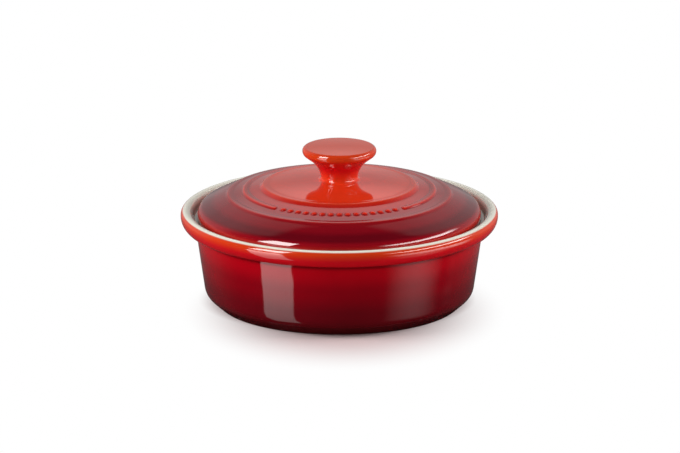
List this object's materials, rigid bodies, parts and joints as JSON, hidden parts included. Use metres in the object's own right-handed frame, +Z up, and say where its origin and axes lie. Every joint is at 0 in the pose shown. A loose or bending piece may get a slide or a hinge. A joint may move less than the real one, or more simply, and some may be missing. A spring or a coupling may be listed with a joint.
{
  "type": "camembert baker",
  "caption": "Round lidded stoneware baker for a small soft cheese: banded rim, low domed lid with raised rings and a mushroom knob.",
  "frame": {"origin": "centre of the foot, on the surface that the dish stands on", "axes": "+Z up along the axis of the dish and lid; the front, where the lid's middle ring is broken by the row of pearls, faces -Y"},
  "size_m": [0.16, 0.16, 0.0818],
  "materials": {
    "red_glaze": "gloss glaze, orange-red on edges and knob, deep red where it pools",
    "cream_glaze": "gloss cream glaze on the inside and on top of the rim",
    "bare_stoneware": "unglazed matt biscuit on the foot ring and the lid's seat"
  },
  "bodies": {
    "root": {"dish": "red_glaze", "lid": "red_glaze"}
  },
  "joints": []
}
